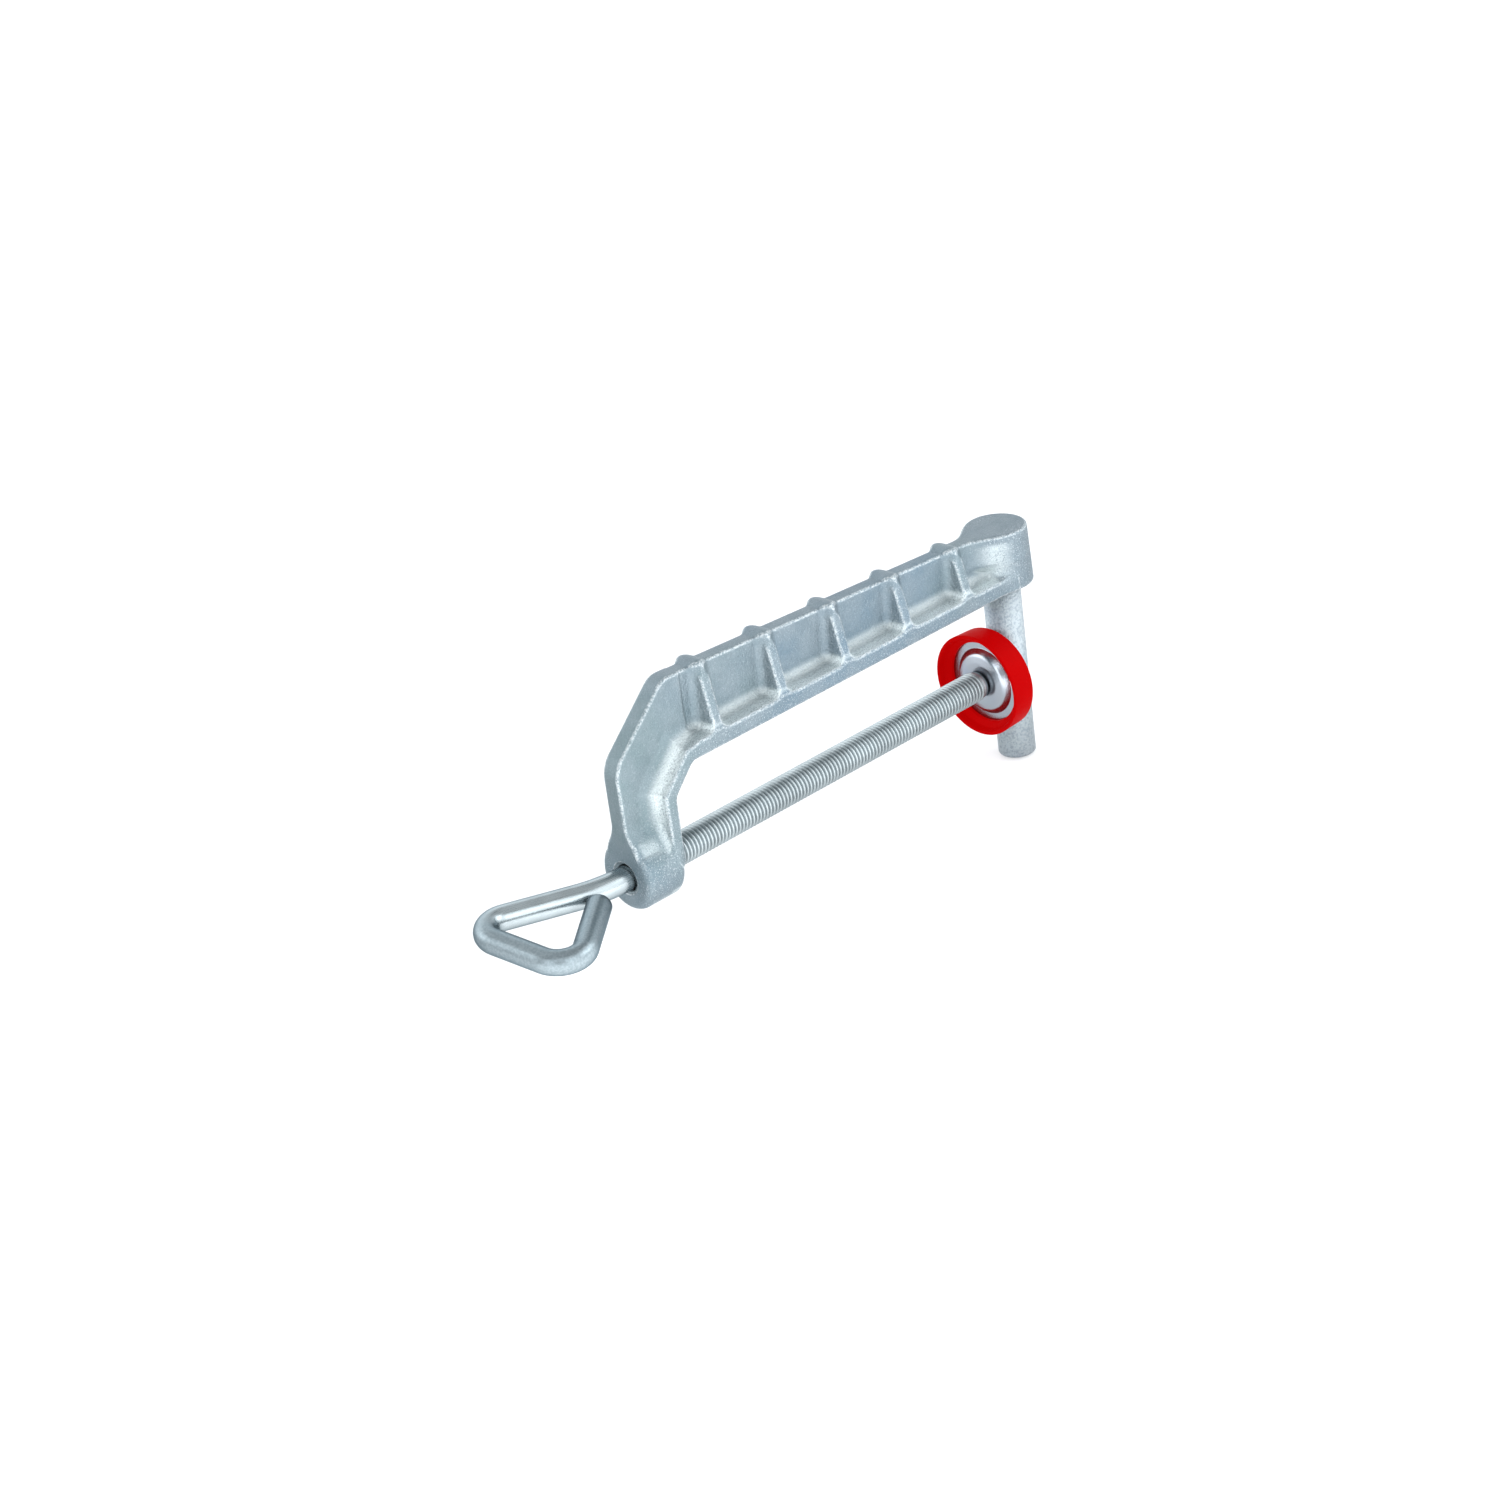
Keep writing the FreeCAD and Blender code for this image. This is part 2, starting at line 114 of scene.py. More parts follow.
def make_piece(name, points, faces, body, node, material, fields=None):
    """A smooth mesh from millimetres, riding on a body in place of its CAD node."""
    mesh = bpy.data.meshes.new(name)
    mesh.from_pydata((np.asarray(points) * MM).tolist(), [], faces)
    for field, values in (fields or {}).items():
        values = np.asarray(values, dtype=np.float32)
        kind, key = ("FLOAT_VECTOR", "vector") if values.ndim == 2 else ("FLOAT", "value")
        mesh.attributes.new(field, kind, "POINT").data.foreach_set(key, values.ravel())
    work = bmesh.new()
    work.from_mesh(mesh)
    bmesh.ops.remove_doubles(work, verts=work.verts, dist=2e-6)
    bmesh.ops.dissolve_degenerate(work, edges=work.edges, dist=1e-6)
    bmesh.ops.recalc_face_normals(work, faces=work.faces)
    work.to_mesh(mesh)
    work.free()
    mesh.polygons.foreach_set("use_smooth", [True] * len(mesh.polygons))
    piece = bpy.data.objects.new(name, mesh)
    bpy.context.collection.objects.link(piece)
    mesh.materials.append(material)
    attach(piece, body)
    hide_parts(node)
    return piece


def turned(arm, angle):
    """A flat vector turned by an angle."""
    c, s = math.cos(angle), math.sin(angle)
    return np.array([c * arm[0] - s * arm[1], s * arm[0] + c * arm[1]])


def rounded(corners, steps=6):
    """A closed outline with each (u, v, radius) corner turned into an arc tangent to its two sides."""
    outline = []
    spots = [np.array(corner[:2], dtype=float) for corner in corners]
    for k, here in enumerate(spots):
        radius = corners[k][2] if len(corners[k]) > 2 else 0
        before = spots[k - 1] - here
        after = spots[(k + 1) % len(spots)] - here
        before, after = before / np.linalg.norm(before), after / np.linalg.norm(after)
        half = math.acos(np.clip(before @ after, -1, 1)) / 2
        if radius == 0 or half > math.pi / 2 - 1e-3:
            outline.append(here)
            continue
        middle = before + after
        centre = here + middle / np.linalg.norm(middle) * radius / math.sin(half)
        start = here + before * radius / math.tan(half) - centre
        turn = math.pi - 2 * half
        sign = math.copysign(1, start[0] * -middle[1] + start[1] * middle[0])
        for angle in np.linspace(0, turn * sign, steps + 1):
            outline.append(centre + turned(start, angle))
    return np.array(outline)


def angles_round(count):
    return np.arange(count) * math.tau / count


def lathe(outline, axis, around):
    """Points and faces of a closed outline of (along, radius), turned about X or Z."""
    along, radius = np.asarray(outline).T
    angle = angles_round(around)
    spread = np.outer(radius, np.cos(angle)), np.outer(radius, np.sin(angle))
    level = np.repeat(along[:, None], around, 1)
    columns = (level, *spread) if axis == "X" else (*spread, level)
    points = np.stack(columns, -1).reshape(-1, 3)
    return points, wrap_faces(len(along), around, closed=True)


def wrap_faces(rows, around, closed=False):
    """Quads between rows of points that go round an axis."""
    faces = []
    for row in range(rows if closed else rows - 1):
        after = (row + 1) % rows
        for k in range(around):
            n = (k + 1) % around
            faces.append((row * around + k, after * around + k, after * around + n, row * around + n))
    return faces


def shifted(faces, by):
    return [tuple(k + by for k in face) for face in faces]


# ---------------------------------------------------------------- the casting

def ease(value, low, high):
    """0 below low, 1 above high, smooth between."""
    t = np.clip((value - low) / (high - low), 0, 1)
    return t * t * (3 - 2 * t)


def join(a, b, radius):
    """Union of two distance fields with a round fillet between them."""
    reach = np.hypot(np.maximum(radius - a, 0), np.maximum(radius - b, 0))
    return np.maximum(radius, np.minimum(a, b)) - reach


def cut(a, b, radius):
    """Overlap of two distance fields with a rounded edge between them."""
    return -join(-a, -b, radius)


def crown_height(x):
    return CROWN_AT_PIN - CROWN_FALL * x


def nearest_rib(x):
    """Place along the arm of the middle of the nearest rib."""
    number = np.clip(np.round((x - RIB_FIRST) / RIB_PITCH), 0, RIBS - 1)
    return RIB_FIRST + number * RIB_PITCH


def throat_sides(x, z):
    """Distances from the column's, the knee's and the arm's side of the throat."""
    slant = math.hypot(KNEE_RUN, KNEE_RISE)
    knee = ((z - UNDERSIDE) * KNEE_RUN - (x - INSIDE - KNEE_RUN) * KNEE_RISE) / slant
    return INSIDE - x, knee, z - UNDERSIDE


def inner_outline(x, z):
    """Distance from the throat of the C: positive in the casting."""
    column, knee, arm = throat_sides(x, z)
    return cut(cut(column, knee, CAST_EDGE), arm, CAST_EDGE)


def flange_height(x, z, side):
    """Height above the inner flange's face in the pockets, with crisp corners at the knee."""
    flange = FLANGE + (ARM_FLANGE - FLANGE) * ease(x, *ARM_FLANGE_FROM) + FLANGE_DRAFT * (HALF_FLANGE - side)
    return np.maximum.reduce(throat_sides(x, z)) - flange


def outer_outline(x, z, side=0):
    """Distance from the outer edge of the C, the ribs' nubs and the head's top: negative in the casting."""
    lean = math.radians(SHOULDER_ANGLE)
    shoulder = (z - SHOULDER_FOOT) * math.cos(lean) - (x - OUTSIDE) * math.sin(lean)
    from_rib = np.abs(x - nearest_rib(x))
    nub = NUB_HEIGHT * np.cos(np.clip(from_rib / NUB_REACH, 0, 1) * math.pi / 2)
    nub = nub - NUB_FALL * np.maximum(side - NUB_FLAT, 0) ** 2
    top = z - np.maximum(crown_height(x) + nub, HEAD_TOP)
    return cut(cut(OUTSIDE - x, shoulder, SHOULDER_BEND), top, CROWN_BEND)


def rib_field(x, z, side):
    """All ribs: upright plates that narrow towards the crown and thicken towards the web."""
    floor = UNDERSIDE + ARM_FLANGE
    rise = (z - floor) / (crown_height(x) - floor)
    reach = HALF_FLANGE + (RIB_TOP_REACH - HALF_FLANGE) * rise
    thickness = HALF_RIB + RIB_DRAFT * np.maximum(reach - side, 0)
    edge = RIB_EDGE + RIB_EDGE_GAIN * ease(rise, *RIB_EDGE_FROM)
    return cut(np.abs(x - nearest_rib(x)) - thickness, side - reach, edge)


def arm_field(p):
    """The whole casting as one distance field, negative inside."""
    x, y, z = p[..., 0], p[..., 1], p[..., 2]
    side = np.abs(y)
    half_web = HALF_WEB + COLUMN_STEP * ease(-x, *STEP_FROM)
    flange_fillet = FLANGE_FILLET + FLANGE_FILLET_GAIN * ease(-x, *FLANGE_FILLET_FROM)
    arm = join(side - half_web, flange_height(x, z, side), flange_fillet)
    arm = join(arm, rib_field(x, z, side), RIB_FILLET)
    arm = cut(arm, side - HALF_FLANGE, CAST_EDGE)
    arm = np.maximum(arm, np.maximum(x - ARM_STOP, COLUMN_STOP - z))
    head = np.hypot(x, y) - HEAD_RADIUS + HEAD_DRAFT * (z - UNDERSIDE)
    arm = join(arm, head, HEAD_FILLET + HEAD_FILLET_GAIN * ease(z, *HEAD_FILLET_FROM))
    boss = cut(np.hypot(y, z) - BOSS_RADIUS, x - BOSS_END, BOSS_EDGE)
    arm = join(arm, boss, BOSS_FILLET - BOSS_FILLET_LOSS * ease(side, *BOSS_FILLET_FROM))
    arm = np.maximum(arm, side - BOSS_RADIUS)
    outer_edge = OUTER_EDGE + OUTER_EDGE_GAIN * ease(-z, *OUTER_EDGE_FROM)
    arm = cut(arm, outer_outline(x, z, side), outer_edge)
    arm = cut(arm, -inner_outline(x, z), CAST_EDGE)
    return np.where(x < BORE_STOP, cut(arm, BORE - np.hypot(y, z), BORE_EDGE), arm)


def surface_nets(field, low, high, step):
    """A quad mesh of the surface where a field crosses zero, with its points moved onto that surface.
    There is one point in each grid cell that the surface passes and one quad round each edge it crosses."""
    settling_passes, least_slope = 3, 0.2
    axes = [np.arange(start, stop + step, step) for start, stop in zip(low, high)]
    values = field(np.stack(np.meshgrid(*axes, indexing="ij"), -1))
    inside = values < 0
    stride = np.array([values.shape[1] * values.shape[2], values.shape[2], 1])
    total = np.zeros((values.size, 3))
    count = np.zeros(values.size)
    quads = []
    for axis in range(3):
        first = tuple(slice(0, -1) if a == axis else slice(1, -1) for a in range(3))
        second = tuple(slice(1, None) if a == axis else slice(1, -1) for a in range(3))
        where = np.argwhere(inside[first] != inside[second]) + [a != axis for a in range(3)]
        start = where @ stride
        d0, d1 = values.ravel()[start], values.ravel()[start + stride[axis]]
        spot = where.astype(float)
        spot[:, axis] += d0 / (d0 - d1)
        back, down = stride[(axis + 1) % 3], stride[(axis + 2) % 3]
        cells = [start, start - back, start - back - down, start - down]
        for cell in cells:
            count += np.bincount(cell, minlength=values.size)
            for a in range(3):
                total[:, a] += np.bincount(cell, spot[:, a], values.size)
        quad = np.stack(cells, 1)
        outward = inside.ravel()[start]
        quad[~outward] = quad[~outward][:, ::-1]
        quads.append(quad)
    used = np.flatnonzero(count)
    number = np.zeros(values.size, dtype=int)
    number[used] = np.arange(len(used))
    points = total[used] / count[used, None] * step + [a[0] for a in axes]
    for _ in range(settling_passes):
        value, slope = field_and_slope(field, points)
        shift = value / np.maximum((slope ** 2).sum(1), least_slope)
        points -= np.clip(shift, -step, step)[:, None] * slope
    return points, number[np.concatenate(quads)]


def field_and_slope(field, points, reach=0.02):
    value = field(points)
    slope = np.stack([(field(points + reach * unit) - value) / reach for unit in np.eye(3)], 1)
    return value, slope


def bend_of(field, points, reach=0.6):
    """How the surface curves at each point: positive on outer edges, negative in fillets."""
    value = field(points)
    around = sum(field(points + reach * unit) + field(points - reach * unit) for unit in np.eye(3))
    return (around - 6 * value) / reach ** 2


def hollow_of(field, points, reach=6.0):
    """How far each point lies in a corner: 0 on open faces, 1 deep in a pocket."""
    value, slope = field_and_slope(field, points)
    slope /= np.linalg.norm(slope, axis=1)[:, None]
    return np.clip(1 - field(points + reach * slope) / reach, 0, 1)


def ledge_painted_light_of(points):
    """Where painted highlight brightens the plate: 1 on the pockets' floors, fading up the web and down the
    column, less in the head's fillet and on the flanks of the ribs, 0 elsewhere."""
    lost_on_column, lost_at_foot, in_head, on_flank = 0.25, 0.32, 0.45, 0.2
    x, y, z = points.T
    side = np.abs(y)
    boss = np.hypot(y, z) - BOSS_RADIUS + np.maximum(side - 7, 0)
    near = np.minimum(flange_height(x, z, side), np.where(x < BOSS_END, boss, 99))
    off_rim = 1 - ease(side, 10.6, 11.3)
    floor = (1 - ease(near, 0.8, 4.2)) * off_rim * ease(-x, 9, 13)
    floor = floor * (1 - ease(-x, 164, 176) * (lost_on_column + lost_at_foot * ease(-z, -28, -14)))
    head = (1 - ease(np.hypot(x, y) - HEAD_RADIUS, 0, 9)) * ease(-x, 0, 10) * ease(z, 38, 48)
    off_rib = nearest_rib(x) - x - HALF_RIB
    flank = ease(off_rib, -0.4, 0.4) * (1 - ease(off_rib, 1.5, 4.5)) * off_rim
    inside = ease(inner_outline(x, z), 1.8, 3.2) * ease(-outer_outline(x, z), 1.5, 4.0)
    return np.maximum.reduce([floor, in_head * head, on_flank * flank]) * inside


# ---------------------------------------------------------------- threads

def thread_radius(phase):
    """The thread's outline: 0 is the middle of a crest, 1 the next one."""
    root_starts, flank_width, flank_curve = 0.42, 0.33, 1.3
    away = np.abs(phase - np.round(phase))
    flank = np.clip((root_starts - away) / flank_width, 0, 1)
    return ROOT + (CREST - ROOT) * flank ** flank_curve


def helix_rows(start, stop, samples, around):
    """X and thread phase in rows that follow the helix, held at both ends, and the angles round a row."""
    rows = int((stop - start) / THREAD_PITCH + 1) * samples + 1 + samples
    angle = np.arange(around + 1) * math.tau / around
    base = start - THREAD_PITCH + np.arange(rows) * THREAD_PITCH / samples
    x = np.clip(base[:, None] + THREAD_PITCH * angle / math.tau, start, stop)
    phase = (x - THREAD_PITCH * angle / math.tau - THREAD_START) / THREAD_PITCH
    return x, phase, angle


def helix_mesh(x, radius, angle):
    """The points of those rows at their radius, and the quads between them."""
    points = np.stack([x, radius * np.cos(angle), radius * np.sin(angle)], -1).reshape(-1, 3)
    width = len(angle)
    faces = [(r * width + k, r * width + k + 1, (r + 1) * width + k + 1, (r + 1) * width + k)
             for r in range(len(x) - 1) for k in range(width - 1)]
    return points, faces


def nut_thread():
    """A sleeve in the boss with the spindle's thread cut inside it and a wider mouth at each end."""
    inset, gap, around = 0.3, 0.22, 48
    start, stop = OUTSIDE + inset, BOSS_END - inset
    wall, mouth, mouth_slope = BORE + 0.4, BORE + 0.06, 6
    x, phase, angle = helix_rows(start, stop, 10, around)
    ends = np.minimum(x - start, stop - x)
    radius = np.maximum(thread_radius(phase) + gap, mouth - ends * mouth_slope)
    inner, faces = helix_mesh(x, radius, angle)
    back = [(start, mouth), (start, wall), (stop, wall), (stop, mouth)]
    outer = [(place, r * math.cos(a), r * math.sin(a)) for place, r in back for a in angle[:-1]]
    return np.concatenate([inner, outer]), faces + shifted(wrap_faces(len(back), around), len(inner))


def spindle_thread():
    """The spindle's thread, from its run-out on the shank to the collar."""
    runout_slope, under_collar, collar_blend = 0.8, 0.25, 0.5
    x, phase, angle = helix_rows(THREAD_START, THREAD_END, 12, AROUND)
    radius = np.minimum(thread_radius(phase), SHANK + (x - THREAD_START) * runout_slope)
    radius += (COLLAR - under_collar - radius) * (1 - ease(THREAD_END - x, 0, collar_blend))
    return helix_mesh(x, radius, angle)


# ---------------------------------------------------------------- the spindle's bar

def bar_route():
    """The shank's and handle's centreline as (point, heading, distance, bend), from the thread outwards."""
    stops_in_run, least_steps_in_bend = 14, 10
    turns = [(math.radians(SHANK_ANGLE), SHANK_BEND), (math.radians(HANDLE_TURN), HANDLE_BEND),
             (math.radians(HANDLE_TURN), HANDLE_BEND)]
    cuts = [radius * math.tan(abs(turn) / 2) for turn, radius in turns]
    runs = [THREAD_START - HANDLE_APEX - cuts[0], HANDLE_SIDE - cuts[0] - cuts[1],
            HANDLE_SIDE - cuts[1] - cuts[2], HANDLE_LAST - cuts[2]]
    place, heading, distance = np.array([THREAD_START, 0.0]), math.pi, 0.0
    route = []
    for k, run in enumerate(runs):
        along = np.array([math.cos(heading), math.sin(heading)])
        for t in np.linspace(0, 1, stops_in_run)[(1 if k else 0):]:
            route.append((place + along * run * t, heading, distance + run * t, 0.0))
        place, distance = place + along * run, distance + run
        if k == len(turns):
            break
        turn, radius = turns[k]
        normal = np.array([-along[1], along[0]]) * math.copysign(1, turn)
        centre = place + normal * radius
        steps = max(least_steps_in_bend, int(abs(turn) * radius))
        for t in np.linspace(0, 1, steps + 1)[1:]:
            spot = centre + turned(-normal * radius, turn * t)
            bend = math.copysign(math.sin(math.pi * t), turn) * HANDLE_BEND / radius
            route.append((spot, heading + turn * t, distance + abs(turn) * radius * t, bend))
        place, heading, distance = route[-1][0], heading + turn, route[-1][2]
    return route


def bar_rings():
    """Rings of the plain bar, a little flat on the outside of each bend, with a chamfered end. The fields
    unroll the bar for its material: distance along it in X, place in its section in Y and Z."""
    flattening, ripple_depth, ripple_pace = 0.045, 0.006, 2.6
    chamfer = [(0.9, 1.0), (0.25, 0.93), (0, 0.84), (0, 0.45), (0, 0.0)]
    angle = angles_round(AROUND)
    route = bar_route()
    end, heading, length, _ = route[-1]
    away = np.array([math.cos(heading), math.sin(heading)])
    stops = [(*stop, 1.0) for stop in route[:-1]]
    stops += [(end - away * before, heading, length - before, 0.0, scale) for before, scale in chamfer]
    rings, fields = [], []
    for spot, heading, distance, bend, scale in stops:
        outward = np.array([-math.sin(heading), math.cos(heading)])
        outside = np.cos(angle) * math.copysign(1, bend) < 0
        flat = 1 - flattening * abs(bend) * outside * np.cos(angle) ** 2
        ripple = 1 - ripple_depth * abs(bend) * (1 + np.sin(distance * ripple_pace)) * np.cos(angle) ** 2
        radius = SHANK * scale * flat * ripple
        u, v = radius * np.cos(angle), radius * np.sin(angle)
        rings.append(np.stack([spot[0] + outward[0] * u, spot[1] + outward[1] * u, v], 1))
        fields.append(np.stack([np.full(AROUND, -distance), u, v], 1))
    return np.concatenate(rings), np.concatenate(fields), len(stops)


def journal_rings():
    """Rings of the inner end: collar, journal and its groove."""
    corner, edge = 0.2, 0.4
    outline = [
        (THREAD_END, COLLAR - 0.25), (THREAD_END + 0.15, COLLAR - 0.2), (THREAD_END + 0.35, COLLAR),
        (COLLAR_END - 0.3, COLLAR), (COLLAR_END, COLLAR - 0.3),
        (COLLAR_END, JOURNAL + corner), (COLLAR_END + corner, JOURNAL),
        (GROOVE_FAR, JOURNAL), (GROOVE_FAR, GROOVE), (GROOVE_NEAR, GROOVE), (GROOVE_NEAR, JOURNAL),
        (JOURNAL_END - edge, JOURNAL), (JOURNAL_END, JOURNAL - edge), (JOURNAL_END, 0.0),
    ]
    angle = angles_round(AROUND)
    rings = [np.stack([np.full(AROUND, x), r * np.cos(angle), r * np.sin(angle)], 1) for x, r in outline]
    return np.concatenate(rings), len(outline)


# ---------------------------------------------------------------- materials

class Nodes:
    """A short way to write a material's node tree."""

    def __init__(self, name):
        self.material = bpy.data.materials.new(name)
        self.material.use_nodes = True
        self.tree = self.material.node_tree
        self.shader = self.tree.nodes["Principled BSDF"]

    def add(self, kind, inputs=None, **settings):
        node = self.tree.nodes.new("ShaderNode" + kind)
        for key, value in settings.items():
            setattr(node, key, value)
        for key, value in (inputs or {}).items():
            self.put(node.inputs[key], value)
        return node

    def put(self, socket, value):
        if isinstance(value, bpy.types.NodeSocket):
            self.tree.links.new(value, socket)
        else:
            socket.default_value = value

    def noise(self, place, scale, detail=3.0, roughness=0.55):
        inputs = {"Vector": place, "Scale": scale, "Detail": detail, "Roughness": roughness}
        return self.add("TexNoise", inputs).outputs["Fac"]

    def ramp(self, value, low, high, at_low=0.0, at_high=1.0):
        node = self.add("MapRange", {"Value": value, "From Min": low, "From Max": high,
                                     "To Min": at_low, "To Max": at_high})
        node.interpolation_type = "SMOOTHSTEP"
        return node.outputs["Result"]

    def math(self, operation, *values):
        node = self.add("Math", operation=operation)
        for socket, value in zip(node.inputs, values):
            self.put(socket, value)
        return node.outputs[0]

    def times(self, first, second):
        return self.math("MULTIPLY", first, second)

    def blend(self, amount, first, second):
        node = self.add("Mix", data_type="RGBA")
        self.put(node.inputs[0], amount)
        self.put(node.inputs[6], first)
        self.put(node.inputs[7], second)
        return node.outputs[2]

    def bump(self, height, distance, strength=1.0, normal=None):
        node = self.add("Bump", {"Height": height, "Distance": distance, "Strength": strength})
        if normal is not None:
            self.put(node.inputs["Normal"], normal)
        return node.outputs["Normal"]

    def field(self, name, output="Fac"):
        return self.add("Attribute", attribute_name=name).outputs[output]

    def place(self):
        return self.add("TexCoord").outputs["Object"]

    def axis(self, vector, name):
        return self.add("SeparateXYZ", {"Vector": vector}).outputs[name]

    def finish(self, **sockets):
        """Sets the shader's sockets, named with _ for a space."""
        for key, value in sockets.items():
            self.put(self.shader.inputs[key.replace("_", " ")], value)
        return self.material


def scaled(colour, red, green, blue):
    """A colour with its red, green and blue multiplied."""
    return (colour[0] * red, colour[1] * green, colour[2] * blue, 1)


def tinted_zinc(nodes, place, base, blue, green, scale):
    """Zinc plate's base colour with its faint patches of blue and green."""
    patches = nodes.ramp(nodes.noise(place, scale, 2.0), 0.42, 0.66)
    greens = nodes.ramp(nodes.noise(place, scale * 0.6, 2.0), 0.45, 0.65)
    return nodes.blend(nodes.times(greens, 0.55), nodes.blend(patches, base, blue), green)


def cast_zinc():
    """Bright zinc plate on a casting: dull and grainy, with painted highlights along its edges, in its fillets
    and hollows and on the pockets' floors.
    """
    nodes = Nodes("cast_zinc_plated")
    place = nodes.place()
    off_middle = nodes.math("ABSOLUTE", nodes.axis(place, "Y"))
    base, blue, green = (0.158, 0.2, 0.228, 1), (0.137, 0.192, 0.235, 1), (0.158, 0.212, 0.217, 1)
    colour = tinted_zinc(nodes, place, base, blue, green, 22)
    cloud = nodes.ramp(nodes.noise(place, 130, 3.0, 0.6), 0.35, 0.65)
    colour = nodes.blend(nodes.times(cloud, 0.35), colour, (0.22, 0.26, 0.285, 1))
    grain = nodes.noise(place, 1300, 3.0, 0.65)

    # Painted light in fillets and corners, and on the nut's thread in the bore: the plate is brighter where it
    # lies in a hollow.
    hollow_painted_light = nodes.ramp(nodes.field("hollow_painted_light"), 0.15, 0.9)
    hollow_painted_light = nodes.times(hollow_painted_light, nodes.ramp(grain, 0.3, 0.6, 0.6, 0.95))
    colour = nodes.blend(hollow_painted_light, colour, (0.5, 0.56, 0.565, 1))

    # Painted highlight on the pockets' floors, in the head's fillet and on the ribs' flanks, darker by the web
    # and lighter by the rim.
    by_web, by_rim = (0.32, 0.355, 0.365, 1), (0.7, 0.76, 0.765, 1)
    ledge = nodes.ramp(nodes.field("ledge"), 0.0, 1.0)
    ledge = nodes.times(ledge, nodes.ramp(grain, 0.3, 0.6, 0.7, 1.0))
    ledge_highlight_colour = nodes.blend(nodes.ramp(off_middle, 0.004, 0.0085), by_web, by_rim)
    colour = nodes.blend(ledge, colour, ledge_highlight_colour)

    # Painted highlight along the outer edges, where the surface bends outwards.
    edge = nodes.ramp(nodes.field("bend"), 0.3, 1.0)
    edge = nodes.times(edge, nodes.ramp(grain, 0.4, 0.6, 0.15, 1.0))
    colour = nodes.blend(edge, colour, (0.42, 0.46, 0.48, 1))

    open_face = nodes.ramp(off_middle, 0.004, 0.009, 0.35, 1.0)
    speck = nodes.times(nodes.ramp(nodes.noise(place, 2100, 2.0), 0.52, 0.66), open_face)
    colour = nodes.blend(nodes.times(speck, 0.55), colour, (0.1, 0.13, 0.155, 1))
    glint = nodes.times(nodes.ramp(nodes.noise(place, 1900, 2.0), 0.56, 0.68), open_face)
    colour = nodes.blend(nodes.times(glint, 0.4), colour, (0.55, 0.58, 0.6, 1))

    normal = nodes.bump(nodes.noise(place, 95, 2.0), 0.0008, 0.4)
    normal = nodes.bump(grain, 0.0005, 0.7, normal)
    rough = nodes.ramp(nodes.noise(place, 45, 2.0), 0.3, 0.7, 0.48, 0.58)
    return nodes.finish(Base_Color=colour, Metallic=1.0, Roughness=rough, Normal=normal)


def drawn_steel():
    """Zinc plate on drawn bar, with faint lines along it: bright on the shank, satin on the thread with
    painted shade in its roots, and dull on the handle. The field "bar" is the bar unrolled, in millimetres."""
    nodes = Nodes("spindle_steel")
    place, bar = nodes.place(), nodes.field("bar", "Vector")
    base, dull, roughness = (0.4, 0.445, 0.46, 1), (0.19, 0.23, 0.25, 1), 0.24
    along = nodes.axis(place, "X")
    on_thread = nodes.ramp(along, -0.2, -0.197)
    bar_tail = nodes.ramp(nodes.axis(bar, "X"), -52, -72, 0.25, 1.0)
    on_handle = nodes.times(nodes.ramp(along, -0.2, -0.208), bar_tail)

    lines = nodes.add("Mapping", {"Vector": bar, "Scale": (0.03, 1.0, 1.0)}).outputs[0]
    streak = nodes.noise(lines, 2.6, 3.0, 0.6)
    patch = nodes.ramp(nodes.noise(bar, 0.09, 2.0), 0.35, 0.7)
    tone = nodes.blend(patch, base, scaled(base, 0.86, 0.86, 0.86))
    tone = nodes.blend(on_handle, tone, dull)
    mottle = nodes.ramp(nodes.noise(place, 1100, 3.0, 0.6), 0.4, 0.62)
    mottle = nodes.times(mottle, nodes.times(on_handle, 0.2))
    tone = nodes.blend(mottle, tone, (0.4, 0.45, 0.48, 1))

    section = nodes.add("VectorMath", {0: bar, 1: (0, 1, 1)}, operation="MULTIPLY").outputs["Vector"]
    radius = nodes.add("VectorMath", {0: section}, operation="LENGTH").outputs["Value"]
    # Painted shade in the thread's roots.
    root_painted_shade = nodes.times(nodes.ramp(radius, 5.75, 5.05), on_thread)
    tone = nodes.blend(nodes.times(root_painted_shade, 0.5), tone, (0.13, 0.155, 0.17, 1))
    marks = nodes.times(nodes.ramp(streak, 0.55, 0.75), 0.15)
    tone = nodes.blend(marks, tone, (0.2, 0.25, 0.28, 1))

    normal = nodes.bump(streak, 0.00008, 0.2)
    normal = nodes.bump(nodes.noise(bar, 1.1, 3.0), 0.00015, 0.2, normal)
    rough = nodes.ramp(streak, 0.3, 0.7, roughness - 0.04, roughness + 0.07)
    rough = nodes.math("ADD", rough, nodes.times(on_handle, 0.1))
    rough = nodes.math("ADD", rough, nodes.times(on_thread, 0.18))
    return nodes.finish(Base_Color=tone, Metallic=1.0, Roughness=rough, Normal=normal,
                        Specular_Tint=(0.34, 0.38, 0.41, 1))


def plated_steel(name, base, low, high, scale, relief=0.00008, mottle=0.0):
    """Zinc plate on smooth steel, with a roughness from low to high and darker mottle where it's asked for."""
    nodes = Nodes(name)
    place = nodes.place()
    blue, green = scaled(base, 0.93, 0.95, 1.03), scaled(base, 0.97, 1.02, 0.98)
    colour = tinted_zinc(nodes, place, base, blue, green, scale)
    spots = nodes.ramp(nodes.noise(place, 1000, 3.0, 0.65), 0.45, 0.62)
    colour = nodes.blend(nodes.times(spots, mottle), colour, (0.15, 0.185, 0.21, 1))
    normal = nodes.bump(nodes.noise(place, 1700, 3.0), relief, 0.5)
    rough = nodes.ramp(nodes.noise(place, scale * 3, 2.0), 0.3, 0.7, low, high)
    return nodes.finish(Base_Color=colour, Metallic=1.0, Roughness=rough, Normal=normal)


